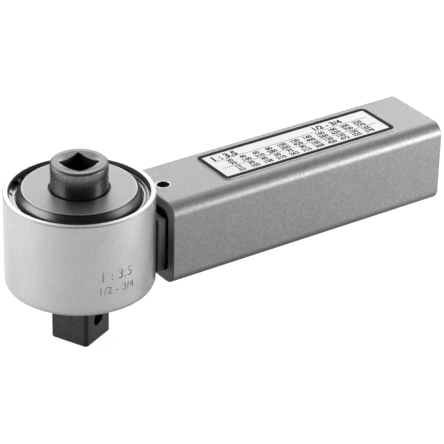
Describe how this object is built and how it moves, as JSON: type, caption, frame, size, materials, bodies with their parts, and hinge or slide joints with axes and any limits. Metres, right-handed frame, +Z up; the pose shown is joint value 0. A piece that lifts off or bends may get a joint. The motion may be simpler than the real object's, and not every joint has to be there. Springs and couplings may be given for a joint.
{
  "type": "torque multiplier",
  "caption": "Hand torque multiplier: square socket on top, planetary gears in a round housing, larger square drive below and a square tube reaction arm.",
  "frame": {"origin": "centre of the output square's end face", "axes": "+Z up the drive axis towards the input socket, +X out along the reaction arm"},
  "size_m": [0.2188, 0.0664, 0.0863],
  "materials": {
    "satin_nickel": "fine blasted satin nickel",
    "grey_steel": "blasted and burnished",
    "hub_steel": "burnished",
    "black_steel": "black oxide",
    "gear_steel": "machined",
    "spring_steel": "stamped and tumbled",
    "arm_paint": "fine textured silver grey",
    "bronze": "turned bronze",
    "seal_rubber": "moulded",
    "plug_plastic": "moulded",
    "label_white": "printed plate"
  },
  "bodies": {
    "housing": {"gear_housing": "satin_nickel", "ring_gear": "gear_steel", "ring_gear_dowels": "gear_steel", "cover_disc": "grey_steel", "retaining_ring": "spring_steel", "input_bush": "bronze", "input_seal": "seal_rubber", "collar_washer_upper": "bronze", "output_bush": "bronze", "output_seal": "seal_rubber", "output_thrust_washer": "bronze", "reaction_arm": "arm_paint", "arm_pin": "black_steel", "arm_end_plug": "plug_plastic", "label_plate": "label_white"},
    "input": {"input_shaft": "hub_steel"},
    "output": {"planet_carrier": "black_steel", "carrier_plate": "gear_steel", "carrier_screws": "black_steel", "planet_washers": "bronze", "pilot_bush": "bronze", "collar_washer_lower": "bronze", "planet_pin_1": "gear_steel", "planet_pin_2": "gear_steel", "planet_pin_3": "gear_steel", "planet_pin_4": "gear_steel"},
    "planet_1": {"planet_gear_1": "gear_steel", "planet_bush_1": "bronze"},
    "planet_2": {"planet_gear_2": "gear_steel", "planet_bush_2": "bronze"},
    "planet_3": {"planet_gear_3": "gear_steel", "planet_bush_3": "bronze"},
    "planet_4": {"planet_gear_4": "gear_steel", "planet_bush_4": "bronze"}
  },
  "joints": [
    {"name": "output_turn", "type": "hinge", "parent": "housing", "child": "output", "pos_m": [0, 0, 0.0275], "axis": [0, 0, 1], "continuous": true},
    {"name": "input_turn", "type": "hinge", "parent": "housing", "child": "input", "pos_m": [0, 0, 0.0863], "axis": [0, 0, 1], "continuous": true},
    {"name": "planet_1_spin", "type": "hinge", "parent": "output", "child": "planet_1", "pos_m": [0.01589, 0.00734, 0.0496], "axis": [0, 0, 1], "continuous": true},
    {"name": "planet_2_spin", "type": "hinge", "parent": "output", "child": "planet_2", "pos_m": [-0.00734, 0.01589, 0.0496], "axis": [0, 0, 1], "continuous": true},
    {"name": "planet_3_spin", "type": "hinge", "parent": "output", "child": "planet_3", "pos_m": [-0.01589, -0.00734, 0.0496], "axis": [0, 0, 1], "continuous": true},
    {"name": "planet_4_spin", "type": "hinge", "parent": "output", "child": "planet_4", "pos_m": [0.00734, -0.01589, 0.0496], "axis": [0, 0, 1], "continuous": true}
  ],
  "couplings": [
    {"joint": "input_turn", "follows": "output_turn", "ratio": 3.5},
    {"joint": "planet_1_spin", "follows": "output_turn", "ratio": -3.3333},
    {"joint": "planet_2_spin", "follows": "output_turn", "ratio": -3.3333},
    {"joint": "planet_3_spin", "follows": "output_turn", "ratio": -3.3333},
    {"joint": "planet_4_spin", "follows": "output_turn", "ratio": -3.3333}
  ]
}
